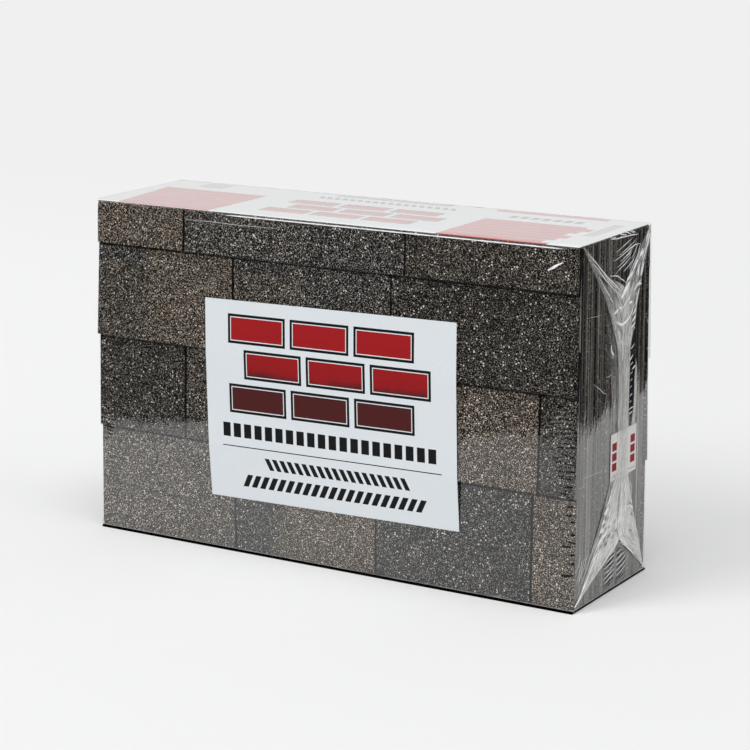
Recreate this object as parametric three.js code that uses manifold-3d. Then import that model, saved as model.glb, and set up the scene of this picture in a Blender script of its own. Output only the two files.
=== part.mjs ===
// A bundle of laminated asphalt shingles that stands on its long edge. Twenty-three inner shingles are
// stacked along Y. The front and the back are each faced with four lapped courses of tabs. A white sheet
// covers the top, and clear film follows the laps and holds it all, gathered into an hourglass at each end.
// A large label is stuck over the film on the front, and a small one lies under the right end's gather.
//
// Millimetres. +X runs along the bundle, -Y is its front, +Z is up, and the origin is the middle of its base.

import * as THREE from 'three';
import { mergeVertices } from 'three/addons/utils/BufferGeometryUtils.js';
import Module from 'manifold-3d';

const wasm = await Module();
wasm.setup();

// Bundle
const LENGTH = 537;
const HALF_DEPTH = 77.75;          // middle of the stack to the edges of the laps
const SHEET_HEIGHT = 337;
const GAP = 0.3;                   // between pieces that touch
const FILM = 0.3;                  // thickness of the film
const PAPER = 0.3;                 // thickness of the labels and the top sheet
const SHEET_BOTTOM = FILM + GAP;
const SHEET_TOP = SHEET_BOTTOM + SHEET_HEIGHT;

// Lapped courses on the front and the back
const PLY = 1.8;                   // a course is a backing ply and a ply of tabs
const STRIP = 2 * PLY;
const EXPOSURE = 94;               // lap to lap
const HEADLAP = 40;                // how far a course runs up behind the one above
const TAB_HEADLAP = 6;             // how far its tab ply does
const LAP_STEP = STRIP + GAP;
const SLOPE = LAP_STEP / EXPOSURE;
const FOOT = 2.5;                  // the lowest courses end this high, on the slant of the film's foot
const FOOT_RECESS = 2;             // they lean back into the stack at their foot
const FOOT_SLOPE = 0.018;
const JOINT_WIDTH = 1.3;
const CORNER_RADIUS = 5;
const FACE_DEPTH = STRIP + SLOPE * (EXPOSURE + HEADLAP) + GAP;

// From top to bottom. Each course has the height of its lower edge, how far that edge lies in from the plane
// of the laps, and the slope of its face. Joints are measured from the left end of the stack, and recesses
// are how far each tab lies back. The ends are insets from the left and the right end of the stack: the tabs'
// at the lower edge and at the top, as they slant, then the backing's.
const FRONT_COURSES = [
  {
    bottom: 296.5, bottomRecess: 0, slope: SLOPE,
    joints: [109.9, 359.7], recesses: [0, 0.5, 0.2],
    left: [5.4, 5.4], right: [0.1, 0.1], backing: [5.4, 0.4],
  },
  {
    bottom: 202.5, bottomRecess: 0, slope: SLOPE,
    joints: [165.7, 343.2], recesses: [0, 0.6, 0.1],
    left: [1.5, 4.1], right: [3.4, 1.6], backing: [4.2, 0.4],
  },
  {
    bottom: 108.5, bottomRecess: 0, slope: SLOPE,
    joints: [107.3, 302.4, 499.7], recesses: [0.2, 0.6, 0, 0.4],
    left: [1.7, 1.7], right: [0.1, 0.1], backing: [2.5, 0.4],
  },
  {
    bottom: FOOT, bottomRecess: FOOT_RECESS, slope: FOOT_SLOPE,
    joints: [164.6, 326.2, 492.9], recesses: [0, 0.4, 0.1, 0.5],
    left: [0.1, 1.4], right: [0.1, 0.1], backing: [2, 0.4],
  },
];
const BACK_BUTT = 297;             // here the top back course stands on the next, on one slope with it
const BACK_LAP = 209;
const BACK_COURSES = [
  {
    bottom: BACK_BUTT, bottomRecess: SLOPE * (BACK_BUTT - BACK_LAP), slope: SLOPE,
    joints: [148, 392], recesses: [0.3, 0, 0.5],
    left: [0.6, 0.6], right: [1.4, 1.4], backing: [0.8, 2],
  },
  {
    bottom: BACK_LAP, bottomRecess: 0, slope: SLOPE,
    joints: [82, 236, 431], recesses: [0.5, 0.1, 0.4, 0],
    left: [1.8, 0.9], right: [0.3, 1.2], backing: [2, 1.5],
  },
  {
    bottom: 109.5, bottomRecess: 0, slope: SLOPE,
    joints: [171, 352], recesses: [0, 0.5, 0.2],
    left: [0.2, 0.2], right: [2.1, 2.1], backing: [0.6, 2.4],
  },
  {
    bottom: FOOT, bottomRecess: FOOT_RECESS, slope: FOOT_SLOPE,
    joints: [58, 263, 447], recesses: [0.4, 0, 0.5, 0.2],
    left: [0.9, 0.3], right: [0.4, 0.4], backing: [1.2, 0.8],
  },
];

// Inner shingles
const SHINGLES = 23;
const STACK_HALF_DEPTH = HALF_DEPTH - FACE_DEPTH;
const PITCH = (2 * STACK_HALF_DEPTH) / SHINGLES;
const SPACINGS = [0.35, 0.5, 0.35, 0.9, 0.4];   // gaps after one shingle and the next, in turn
const END_UNEVENNESS = 1.6;
const TOP_UNEVENNESS = 1.2;

// Labels and the sheet on top
const FRONT_LABEL = { width: 280.4, height: 198.5, x: 7.6, z: 156.2, tilt: THREE.MathUtils.degToRad(1) };
const END_LABEL = { width: 54.7, height: 45, y: 21.4, z: 129.9 };
const TOP_SHEET = { length: 535, depth: 146.8, y: -1.8 };

// Film
const FILM_CLEARANCE = 0.4;        // off the faces of the courses
const FILM_BRIDGE = 10;            // under each lap it slants out to the lap's edge over this height
const FILM_SHOULDER = 1;           // bevel along the top edges
const FILM_FOOT = { height: 2, depth: 5 };   // slant under the lowest courses
const FLAP_X = LENGTH / 2 + GAP;   // inner face of the single layer over each end
const GATHER_X = FLAP_X + FILM + GAP + PAPER + GAP;
const SLEEVE_X = GATHER_X + 0.5;
const SLIT = 3;                    // between the front and the back flap, behind the gather
const TOP_INSIDE = SHEET_TOP + GAP + PAPER + GAP;
const TOP_OUTSIDE = TOP_INSIDE + FILM;

// The gathered film is an hourglass: a fan from the top edge, a neck, and a fan to the bottom edge.
const NECK = { y: 21.2, halfWidth: 10.9, top: 221, bottom: 106, thickness: 3.2 };
const UPPER_FAN = { y: 1.2, halfWidth: 70.5, thickness: 0.9, curve: 1.28 };
const LOWER_FAN = { y: -0.5, halfWidth: 70.6, thickness: 0.9, curve: 1 };
const GATHER_EDGE = 0.4;
const GATHER_ROWS = 22;
const PLEATS = 6;
const COLUMNS_PER_PLEAT = 4;

// Colours
const GRANULES = [0x5d5349, 0x46443f, 0x4b4b49, 0x544d45];
const PLY_EDGES = [0x3f3a34, 0x4a4239, 0x37342f];
const WHITE_PAPER = 0xe9edf1;
const FILM_COLOUR = 0xdfe4e6;

function solidOf(geometry) {
  const bare = geometry.clone();
  bare.deleteAttribute('normal');
  bare.deleteAttribute('uv');
  const merged = mergeVertices(bare, 1e-5);
  return new wasm.Manifold(new wasm.Mesh({
    numProp: 3,
    vertProperties: new Float32Array(merged.attributes.position.array),
    triVerts: new Uint32Array(merged.index.array),
  }));
}

function geometryOf(solid) {
  const mesh = solid.getMesh();
  const geometry = new THREE.BufferGeometry();
  geometry.setAttribute('position', new THREE.BufferAttribute(mesh.vertProperties, 3));
  geometry.setIndex(new THREE.BufferAttribute(mesh.triVerts, 1));
  geometry.computeVertexNormals();
  return geometry;
}

function joined(solids) {
  return solids.reduce((whole, solid) => whole.add(solid));
}

function meshOf(name, geometry, colour, roughness = 0.95, extra = {}) {
  const material = new THREE.MeshStandardMaterial({ color: colour, roughness, metalness: 0, ...extra });
  const mesh = new THREE.Mesh(geometry, material);
  mesh.name = name;
  return mesh;
}

function extruded(outline, depth) {
  return new THREE.ExtrudeGeometry(outline, { depth, bevelEnabled: false, curveSegments: 4 });
}

function shapeOf(points) {
  return new THREE.Shape(points.map(([u, v]) => new THREE.Vector2(u, v)));
}

// A section in Y and Z, run along X.
function alongX(points, from, to) {
  const axes = new THREE.Matrix4().makeBasis(
    new THREE.Vector3(0, 1, 0),
    new THREE.Vector3(0, 0, 1),
    new THREE.Vector3(1, 0, 0),
  );
  return extruded(shapeOf(points), to - from).applyMatrix4(axes).translate(from, 0, 0);
}

// An outline in X and Z, given its thickness along Y.
function alongY(shape, from, to) {
  return extruded(shape, to - from).rotateX(Math.PI / 2).translate(0, to, 0);
}

// An outline round corners given as [x, z, radius].
function roundedOutline(corners) {
  const shape = new THREE.Shape();
  corners.forEach(([x, z, radius], index) => {
    const towards = (step) => {
      const [nextX, nextZ] = corners.at((index + step) % corners.length);
      return new THREE.Vector2(nextX - x, nextZ - z).setLength(radius).add(new THREE.Vector2(x, z));
    };
    const [start, end] = [towards(-1), towards(1)];
    if (index === 0) shape.moveTo(start.x, start.y);
    else shape.lineTo(start.x, start.y);
    if (radius > 0) shape.quadraticCurveTo(x, z, end.x, end.y);
  });
  return shape;
}

// How far a course's face lies in from the plane of the lap edges, at a height.
function faceRecess({ bottom, bottomRecess, slope }, z) {
  return bottomRecess + slope * (z - bottom);
}

// A course whose lower edge lies in from the plane of the laps doesn't lap the one under it.
function laps(course) {
  return course.bottomRecess === 0;
}

// One course, with the plane of the lap edges at y = 0 and facing -Y, and the course above it, if any. The
// backing ply is whole and runs up behind the course above. The tabs are bonded to it, and the joints
// between them are cut to its face.
function courseGeometry(course, above) {
  const { bottom, joints, recesses, left, right, backing } = course;
  const plyBetween = (zTop, front, back) => [
    [faceRecess(course, bottom) + front, bottom],
    [faceRecess(course, zTop) + front, zTop],
    [faceRecess(course, zTop) + back, zTop],
    [faceRecess(course, bottom) + back, bottom],
  ].reverse();
  const topWith = (headlap) => {
    if (!above) return SHEET_TOP;
    return above.bottom + (laps(above) ? headlap : -GAP);
  };
  const endedAt = (solid, [leftLow, leftHigh], [rightLow, rightHigh], top) => {
    const low = bottom === FOOT ? CORNER_RADIUS : 0;
    const high = above ? 0 : CORNER_RADIUS;
    const outline = roundedOutline([
      [leftLow - LENGTH / 2, bottom, low],
      [LENGTH / 2 - rightLow, bottom, low],
      [LENGTH / 2 - rightHigh, top, high],
      [leftHigh - LENGTH / 2, top, high],
    ]);
    return solid.intersect(solidOf(alongY(outline, -STRIP, FACE_DEPTH)));
  };

  const tabTop = topWith(TAB_HEADLAP);
  const edges = [-JOINT_WIDTH / 2, ...joints, LENGTH + JOINT_WIDTH / 2].map((x) => x - LENGTH / 2);
  const tabs = recesses.map((recess, tab) => {
    const from = edges[tab] + JOINT_WIDTH / 2;
    const to = edges[tab + 1] - JOINT_WIDTH / 2;
    return solidOf(alongX(plyBetween(tabTop, recess, PLY + GAP), from, to));
  });
  const backingTop = topWith(HEADLAP);
  const ply = solidOf(alongX(plyBetween(backingTop, PLY, STRIP), -LENGTH / 2, LENGTH / 2));
  const [backingLeft, backingRight] = backing.map((inset) => [inset, inset]);
  const wholePly = endedAt(ply, backingLeft, backingRight, backingTop);
  return geometryOf(wholePly.add(endedAt(joined(tabs), left, right, tabTop)));
}

function lappedFace(side, courses) {
  const face = new THREE.Group();
  courses.forEach((course, index) => {
    const name = `${side}_course_${index + 1}`;
    const mesh = meshOf(name, courseGeometry(course, courses[index - 1]), GRANULES[index]);
    mesh.position.y = -HALF_DEPTH;
    face.add(mesh);
  });
  return face;
}

// A steady number from 0 to 1 for each shingle and each use.
function unevenness(index, use) {
  return 0.5 + 0.5 * Math.sin(2.4 * index + 1.7 * use + 0.9 * index * use);
}

// One shingle: two bonded plies whose ends don't quite line up, as a plan section run up Z.
function shingleGeometry(index) {
  const front = -STACK_HALF_DEPTH + index * PITCH + GAP / 2;
  const back = front + PITCH - SPACINGS[index % SPACINGS.length];
  const middle = (front + back) / 2;
  const end = (use) => LENGTH / 2 - END_UNEVENNESS * unevenness(index, use);
  const [rightFront, rightBack, leftFront, leftBack] = [1, 2, 3, 4].map(end);
  const section = shapeOf([
    [-leftFront, front],
    [rightFront, front],
    [rightFront, middle],
    [rightBack, middle],
    [rightBack, back],
    [-leftBack, back],
    [-leftBack, middle],
    [-leftFront, middle],
  ]);
  const height = SHEET_HEIGHT - TOP_UNEVENNESS * unevenness(index, 5);
  return extruded(section, height).translate(0, 0, SHEET_BOTTOM);
}

function shingles() {
  const stack = new THREE.Group();
  for (let index = 0; index < SHINGLES; index += 1) {
    const name = `shingle_${String(index + 1).padStart(2, '0')}`;
    stack.add(meshOf(name, shingleGeometry(index), PLY_EDGES[index % PLY_EDGES.length]));
  }
  return stack;
}

// The front label lies on the film: back along the second course, straight from that lap edge to the next,
// and back again to the face of the lowest course.
function frontLabel() {
  const { width, height, x, z, tilt } = FRONT_LABEL;
  const [top, bottom] = [z + height / 2, z - height / 2];
  const [, second, third, lowest] = FRONT_COURSES;
  const inside = [
    [faceRecess(lowest, bottom), bottom],
    [0, third.bottom],
    [0, second.bottom],
    [faceRecess(second, top), top],
  ];
  const outside = inside.map(([recess, height]) => [recess - PAPER, height]);
  const section = [...outside, ...inside.reverse()].map(([recess, height]) => [recess, height - z]).reverse();
  const label = meshOf('front_label', alongX(section, -width / 2, width / 2), WHITE_PAPER, 0.6);
  label.position.set(x, -HALF_DEPTH - FILM_CLEARANCE - FILM - GAP, z);
  label.rotation.y = -tilt;
  return label;
}

function endLabel() {
  const { width, height, y, z } = END_LABEL;
  const label = meshOf('end_label', new THREE.BoxGeometry(PAPER, width, height), WHITE_PAPER, 0.6);
  label.position.set(FLAP_X + FILM + GAP + PAPER / 2, y, z);
  return label;
}

function topSheet() {
  const { length, depth, y } = TOP_SHEET;
  const sheet = meshOf('top_sheet', new THREE.BoxGeometry(length, depth, PAPER), WHITE_PAPER, 0.6);
  sheet.position.set(0, y, SHEET_TOP + GAP + PAPER / 2);
  return sheet;
}

// The film's section over one face, from its foot to its shoulder, as distances from the middle and heights.
// It follows each course up to just under the lap above, and slants out to that lap's edge.
function filmHalf(courses, outwards) {
  const y = HALF_DEPTH + FILM_CLEARANCE + outwards;
  const footY = y - FOOT_RECESS;
  const half = [
    [footY - FILM_FOOT.depth, FILM - outwards],
    [footY, FILM_FOOT.height + FILM - outwards],
  ];
  for (let index = courses.length - 1; index > 0; index -= 1) {
    const above = courses[index - 1];
    if (laps(above)) {
      const bridge = above.bottom - FILM_BRIDGE;
      half.push([y - faceRecess(courses[index], bridge), bridge], [y, above.bottom]);
    }
  }
  const shoulderY = y - faceRecess(courses[0], SHEET_TOP);
  const top = TOP_INSIDE + outwards;
  half.push([shoulderY, top - FILM_SHOULDER], [shoulderY - FILM_SHOULDER, top]);
  return half;
}

function filmSection(outwards) {
  const front = filmHalf(FRONT_COURSES, outwards).map(([across, up]) => [-across, up]);
  return [...filmHalf(BACK_COURSES, outwards), ...front.reverse()];
}

// Where the gather is at a height: its middle, half its width, and how thick its pleats stand.
function gatherAt(z) {
  const up = Math.max(0, (z - NECK.top) / (TOP_OUTSIDE - NECK.top));
  const down = Math.max(0, (NECK.bottom - z) / NECK.bottom);
  const fan = up > 0 ? UPPER_FAN : LOWER_FAN;
  const share = Math.max(up, down) ** fan.curve;
  return {
    y: THREE.MathUtils.lerp(NECK.y, fan.y, share),
    halfWidth: THREE.MathUtils.lerp(NECK.halfWidth, fan.halfWidth, share),
    thickness: THREE.MathUtils.lerp(NECK.thickness, fan.thickness, Math.max(up, down) ** 0.6),
  };
}

// The pleated hourglass as a closed grid: pleats run from the top edge through the neck to the bottom edge.
function gatherGeometry() {
  const columns = PLEATS * COLUMNS_PER_PLEAT;
  const positions = [];
  for (let row = 0; row <= GATHER_ROWS; row += 1) {
    const z = (TOP_OUTSIDE * row) / GATHER_ROWS;
    const { y, halfWidth, thickness } = gatherAt(z);
    for (let column = 0; column <= columns; column += 1) {
      const across = (2 * column) / columns - 1;
      const crown = Math.sqrt(1 - across ** 2);
      const pleat = 0.7 + 0.3 * Math.cos(Math.PI * PLEATS * across);
      const front = GATHER_EDGE + thickness * crown * pleat;
      positions.push(GATHER_X, y + halfWidth * across, z, GATHER_X + front, y + halfWidth * across, z);
    }
  }
  const point = (row, column, side) => 2 * (row * (columns + 1) + column) + side;
  const faces = [];
  const addQuad = (a, b, c, d) => faces.push(a, b, c, a, c, d);
  for (let row = 0; row < GATHER_ROWS; row += 1) {
    for (let column = 0; column < columns; column += 1) {
      const [low, high, near, far] = [row, row + 1, column, column + 1];
      addQuad(point(low, near, 1), point(low, far, 1), point(high, far, 1), point(high, near, 1));
      addQuad(point(low, near, 0), point(high, near, 0), point(high, far, 0), point(low, far, 0));
    }
    addQuad(point(row, 0, 0), point(row, 0, 1), point(row + 1, 0, 1), point(row + 1, 0, 0));
    addQuad(point(row, columns, 0), point(row + 1, columns, 0), point(row + 1, columns, 1),
      point(row, columns, 1));
  }
  for (let column = 0; column < columns; column += 1) {
    addQuad(point(0, column, 0), point(0, column + 1, 0), point(0, column + 1, 1), point(0, column, 1));
    addQuad(point(GATHER_ROWS, column, 0), point(GATHER_ROWS, column, 1),
      point(GATHER_ROWS, column + 1, 1), point(GATHER_ROWS, column + 1, 0));
  }
  const geometry = new THREE.BufferGeometry();
  geometry.setAttribute('position', new THREE.Float32BufferAttribute(positions, 3));
  geometry.setIndex(faces);
  return geometry;
}

// One end of the film: front and back flaps that part behind the gather, and the gather.
function filmEnd() {
  const flaps = solidOf(alongX(filmSection(FILM / 2), FLAP_X, FLAP_X + FILM));
  const slit = solidOf(new THREE.BoxGeometry(4 * FILM, SLIT, SHEET_HEIGHT)
    .translate(FLAP_X, NECK.y, TOP_OUTSIDE / 2));
  return flaps.subtract(slit).add(solidOf(gatherGeometry()));
}

function filmWrap() {
  const outside = solidOf(alongX(filmSection(FILM), -SLEEVE_X, SLEEVE_X));
  const inside = solidOf(alongX(filmSection(0), -SLEEVE_X - 1, SLEEVE_X + 1));
  const right = filmEnd();
  const left = filmEnd().mirror([1, 0, 0]);
  const film = joined([outside.subtract(inside), right, left]);
  return meshOf('film_wrap', geometryOf(film), FILM_COLOUR, 0.15, { transparent: true, opacity: 0.3 });
}

const bundle = new THREE.Group();
bundle.name = 'asphalt_shingle_bundle';
const backFace = lappedFace('back', BACK_COURSES);
backFace.rotation.z = Math.PI;
bundle.add(shingles(), lappedFace('front', FRONT_COURSES), backFace);
bundle.add(frontLabel(), endLabel(), topSheet(), filmWrap());
bundle.position.y = (GAP + PAPER) / 2;   // the label is outermost on the front, and the film on the back

export default bundle;
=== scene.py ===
"""The finish of an asphalt shingle bundle: granules on the courses, cut edges on the inner shingles, printed
paper, and clear film that clings to the stack and gathers at both ends. Metres, in the CAD frame."""

import math

import bpy
import numpy as np
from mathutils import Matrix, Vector, noise


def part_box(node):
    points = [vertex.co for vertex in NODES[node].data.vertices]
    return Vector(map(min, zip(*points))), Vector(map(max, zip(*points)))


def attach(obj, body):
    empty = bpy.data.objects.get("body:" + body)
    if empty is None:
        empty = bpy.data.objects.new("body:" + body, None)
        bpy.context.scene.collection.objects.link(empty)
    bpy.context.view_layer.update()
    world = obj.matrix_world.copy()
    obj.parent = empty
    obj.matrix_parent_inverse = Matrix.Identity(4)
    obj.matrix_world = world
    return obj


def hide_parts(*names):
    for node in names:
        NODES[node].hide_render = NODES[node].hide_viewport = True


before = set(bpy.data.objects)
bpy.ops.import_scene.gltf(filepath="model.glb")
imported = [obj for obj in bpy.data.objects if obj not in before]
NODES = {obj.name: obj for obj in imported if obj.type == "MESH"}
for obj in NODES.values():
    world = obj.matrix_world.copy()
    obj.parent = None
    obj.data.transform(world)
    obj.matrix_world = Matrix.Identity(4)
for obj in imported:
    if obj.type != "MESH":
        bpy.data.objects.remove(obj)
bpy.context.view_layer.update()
MM = 0.001
FRONT, BACK = -1, 1                 # the sign of y on each side

# Where the joints and the colour changes of each course lie, in metres from the middle, with the blend that
# starts there. A joint is sharp, and a change inside a tab is soft.
SHARP, SOFT = 0.0003, 0.009
FRONT_TABS = [
    [(-1, "brown", SHARP), (-0.1586, "smoke", SHARP), (-0.0231, "grey", SOFT), (0.0912, "bark", SHARP)],
    [(-1, "umber", SHARP), (-0.2051, "brown", SOFT), (-0.1028, "umber", SHARP), (-0.0251, "grey", SOFT),
     (0.0747, "coal", SHARP)],
    [(-1, "dark", SHARP), (-0.1612, "umber", SHARP), (0.0339, "dark", SHARP), (0.1119, "brown", SOFT),
     (0.2312, "dark", SHARP)],
    [(-1, "pale", SHARP), (-0.1039, "slate", SHARP), (-0.0501, "brown", SOFT), (0.0577, "slate", SHARP),
     (0.2244, "brown", SHARP)],
]
BACK_TABS = [
    [(-1, "grey", SHARP), (-0.1205, "brown", SHARP), (0.020, "umber", SOFT), (0.1235, "dark", SHARP)],
    [(-1, "dark", SHARP), (-0.1865, "brown", SHARP), (-0.0325, "grey", SHARP), (0.060, "umber", SOFT),
     (0.1625, "brown", SHARP)],
    [(-1, "umber", SHARP), (-0.0975, "slate", SHARP), (0.0835, "brown", SHARP), (0.190, "grey", SOFT)],
    [(-1, "brown", SHARP), (-0.2105, "pale", SHARP), (-0.0055, "umber", SHARP), (0.1785, "dark", SHARP)],
]
COURSES = {FRONT: ("front", FRONT_TABS), BACK: ("back", BACK_TABS)}
# How much the soft changes of each course lean, and the dark bands under the lap above it on the front: from,
# to, and how far down.
LEANS = [0.0, 0.128, 0.05, 0.04]
SHADOW_BANDS = [[], [(-0.275, -0.203, 0.017), (-0.098, -0.030, 0.016)], [], []]

# What share of a blend is the brown granule mix, how bright it is and how blue.
BLENDS = {
    "dark": (0.12, 0.96, 0.0), "smoke": (0.10, 1.44, 0.15), "grey": (0.0, 1.22, 0.35),
    "umber": (0.45, 1.20, 0.0), "bark": (0.40, 0.92, 0.0), "coal": (0.18, 0.82, 0.0),
    "brown": (1.0, 1.30, 0.0), "pale": (0.30, 1.60, 0.0), "slate": (0.0, 1.05, 0.8),
}


def course_edges(side):
    """The top of a side's first course and the lower edge of each of its courses, in millimetres."""
    name, tabs = COURSES[side]
    boxes = [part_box(f"{name}_course_{number + 1}") for number in range(len(tabs))]
    return [round(height / MM, 1) for height in (boxes[0][1].z, *(low.z for low, _ in boxes))]


COURSE_EDGES = {side: course_edges(side) for side in COURSES}


# ---------------------------------------------------------------- shader nodes

def math_method(operation, swapped=False):
    """A method of Value that makes a math node."""
    def method(value, *others):
        values = (value, *others)
        return value.shader.math(operation, *(values[::-1] if swapped else values))
    return method


class Value:
    """What a node gives out. Sums, products and comparisons of values are math nodes."""

    __add__ = __radd__ = math_method("ADD")
    __sub__, __rsub__ = math_method("SUBTRACT"), math_method("SUBTRACT", swapped=True)
    __mul__, __truediv__ = math_method("MULTIPLY"), math_method("DIVIDE")
    __mod__ = math_method("FLOORED_MODULO")
    __gt__, __lt__ = math_method("GREATER_THAN"), math_method("LESS_THAN")
    __abs__, floor = math_method("ABSOLUTE"), math_method("FLOOR")
    least, most = math_method("MINIMUM"), math_method("MAXIMUM")

    def __init__(self, shader, socket):
        self.shader, self.socket = shader, socket

    def within(self, low, high):
        return (self > low) * (self < high)

    def clamped(self):
        return self.shader.math("ADD", self, 0.0, clamp=True)

    def span(self, low, high, low_to=0.0, high_to=1.0, smooth=True):
        """low_to at low and high_to at high, with no change beyond them. low may be the larger."""
        values = {"Value": self, "From Min": low, "From Max": high, "To Min": low_to, "To Max": high_to}
        return self.shader.value("MapRange", values, interpolation_type="SMOOTHSTEP" if smooth else "LINEAR")

    def between(self, low, full, full_to, high):
        """1 from full to full_to, and 0 before low and past high."""
        return self.span(low, full) * self.span(high, full_to)

    def ramp(self, stops):
        made = self.shader.node("ValToRGB", {"Fac": self})
        elements = made.color_ramp.elements
        while len(elements) < len(stops):
            elements.new(0.5)
        for element, (position, colour) in zip(elements, stops):
            element.position = position
            element.color = (*colour, 1)
        return Value(self.shader, made.outputs["Color"])

    def bump(self, distance, strength, normal=None):
        values = {"Height": self, "Distance": distance, "Strength": strength}
        if normal:
            values["Normal"] = normal
        return self.shader.value("Bump", values)

    def mix(self, share, other, blend="MIX"):
        values = {"Factor": share, "A": self, "B": other}
        return self.shader.value("Mix", values, "Result", data_type="RGBA", blend_type=blend)

    def times(self, other):
        """The product of two colours, or of a colour and a number."""
        return self.mix(1.0, other, "MULTIPLY")

    def parts(self, kind="SeparateXYZ", socket="Vector"):
        """The three parts of a vector."""
        return [Value(self.shader, part) for part in self.shader.node(kind, {socket: self}).outputs]

    def stretched(self, scale):
        return self.shader.value("Mapping", {"Vector": self, "Scale": scale})

    def noise(self, scale, detail=2.0, roughness=0.5):
        values = {"Vector": self, "Scale": scale, "Detail": detail, "Roughness": roughness}
        return self.shader.value("TexNoise", values)

    def ragged(self, scale, detail, width):
        """Noise as a shift to either side, over this width."""
        return self.noise(scale, detail) * width - width / 2

    def patches(self, scale, low, high):
        """Noise as a brightness."""
        return self.noise(scale, 3).span(0.3, 0.7, low, high)

    def cells(self, scale):
        """Two random numbers for each cell, and the distance from its middle."""
        made = self.shader.node("TexVoronoi", {"Vector": self, "Scale": scale})
        numbers = Value(self.shader, made.outputs["Color"]).parts("SeparateColor", "Color")
        return numbers[0], numbers[1], Value(self.shader, made.outputs["Distance"])


class Shader:
    """Builds the nodes of a material or of the world."""

    def __init__(self, owner, output="OutputMaterial"):
        owner.use_nodes = True
        self.owner, self.tree = owner, owner.node_tree
        self.tree.nodes.clear()
        self.output = self.node(output)

    def node(self, kind, inputs=None, **settings):
        """A new node. Its inputs are fed by name or number, with values, numbers or colours without alpha."""
        made = self.tree.nodes.new("ShaderNode" + kind)
        for key, setting in settings.items():
            setattr(made, key, setting)
        for key, value in (inputs or {}).items():
            socket = made.inputs[key]
            if isinstance(value, Value):
                self.tree.links.new(value.socket, socket)
            else:
                socket.default_value = (*value, 1) if socket.type == "RGBA" else value
        return made

    def value(self, kind, inputs=None, output=0, **settings):
        return Value(self, self.node(kind, inputs, **settings).outputs[output])

    def math(self, operation, *values, clamp=False):
        return self.value("Math", dict(enumerate(values)), operation=operation, use_clamp=clamp)

    def place(self):
        return self.value("TexCoord", output="Object")

    def blend(self, share, first, second):
        return self.value("MixShader", {"Fac": share, 1: first, 2: second})

    def surface(self, value):
        self.tree.links.new(value.socket, self.output.inputs["Surface"])
        return self.owner

    def solid(self, colour, roughness, specular, normal):
        values = {"Base Color": colour, "Roughness": roughness, "Specular IOR Level": specular}
        return self.surface(self.value("BsdfPrincipled", {**values, "Normal": normal}))


def new_shader(name):
    return Shader(bpy.data.materials.new(name))


def grey(level):
    return (level, level, level)


def add_object(name, data):
    made = bpy.data.objects.new(name, data)
    bpy.context.scene.collection.objects.link(made)
    return made


def add_mesh(name, vertices, faces, material):
    mesh = bpy.data.meshes.new(name)
    mesh.from_pydata(vertices, [], faces)
    mesh.materials.append(material)
    return add_object(name, mesh)


# ---------------------------------------------------------------- granules and edges

GRANULES_PER_METRE = 1700
FLECKS_PER_METRE = 390
# From each granule's random number to its colour, in the two mixes.
DARK_GRANULES = [
    (0.00, (0.002, 0.002, 0.002)), (0.42, (0.008, 0.008, 0.007)), (0.62, (0.032, 0.030, 0.028)),
    (0.78, (0.122, 0.114, 0.104)), (0.90, (0.400, 0.370, 0.330)), (1.00, (0.90, 0.85, 0.77)),
]
BROWN_GRANULES = [
    (0.00, (0.003, 0.002, 0.002)), (0.40, (0.014, 0.011, 0.008)), (0.62, (0.080, 0.063, 0.049)),
    (0.78, (0.265, 0.214, 0.169)), (0.90, (0.640, 0.538, 0.434)), (1.00, (0.96, 0.87, 0.75)),
]
EDGE_STREAKS = [
    (0.32, (0.003, 0.003, 0.003)), (0.46, (0.020, 0.019, 0.018)), (0.56, (0.120, 0.112, 0.102)),
    (0.68, (0.480, 0.455, 0.420)),
]
BLUE_TINT = (0.92, 1.0, 1.12)
FLECK = (0.84, 0.79, 0.72)
# Black for the bare joints, and for the painted shadow under each lap.
JOINT_BLACK_AND_LAP_SHADOW = grey(0.004)
COURSE_HALF = 0.28                  # from the middle to past the ends of every course


def granule_cells(place):
    """A random number for each granule, its rounded height, and its shade, which is dark in the gaps."""
    number, size, distance = place.cells(GRANULES_PER_METRE)
    height = (1.0 - distance) * size.span(0, 1, 0.7, 1.2, smooth=False)
    return number, height, distance.span(0.32, 0.62, 1.33, 0.12)


def fleck_cells(place):
    """Where the few pale granules lie, and how bright each one is."""
    bright, _, distance = place.cells(FLECKS_PER_METRE)
    return distance.span(0.36, 0.27) * bright.span(0.78, 0.95)


def blend_numbers(along, tabs):
    """The share of brown, the brightness and the blueness along a course, as ramps over its length."""
    share = along.span(-COURSE_HALF, COURSE_HALF, smooth=False)
    ramps = []
    for levels in zip(*(BLENDS[blend] for _, blend, _ in tabs)):
        stops = [(0.0, grey(levels[0]))]
        for (start, _, softness), before, level in zip(tabs[1:], levels, levels[1:]):
            for reach, shown in ((-softness, before), (softness, level)):
                stops.append(((start + reach + COURSE_HALF) / (2 * COURSE_HALF), grey(shown)))
        ramps.append(share.ramp(stops))
    return ramps


def near_soft_changes(along, tabs):
    """1 near the soft changes of a course, and 0 at its joints."""
    return sum(abs(along - start).span(0.032, 0.016) for start, _, softness in tabs if softness == SOFT)


def joints_and_lap_shadow(place, along, down, tabs, index):
    """How dark a place is: nearly 1 along the joints, which are bare of granules, and close under the lap
    above, where it is a painted shadow.
    """
    uneven = place.ragged(300, 2, 0.0012)
    strips = [(abs(along - start) + uneven).span(0.0014, 0.0009)
              for start, _, softness in tabs[1:] if softness == SHARP]
    # A painted shadow close under the lap above.
    if index:
        strips.append((down + uneven).span(0.0042, 0.0024))
    joint_and_shadow = 0.0
    for strip in strips:
        joint_and_shadow = strip.most(joint_and_shadow)
    return joint_and_shadow * 0.93


def shadow_bands(place, along, down, bands):
    """1 in the dark bands that lie under the lap above."""
    for start, end, deep in bands:
        ragged = down + place.ragged(55, 2, 0.012)
        across = along.between(start, start + 0.006, end - 0.010, end)
        yield ragged.span(deep + 0.004, deep - 0.005) * across


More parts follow.
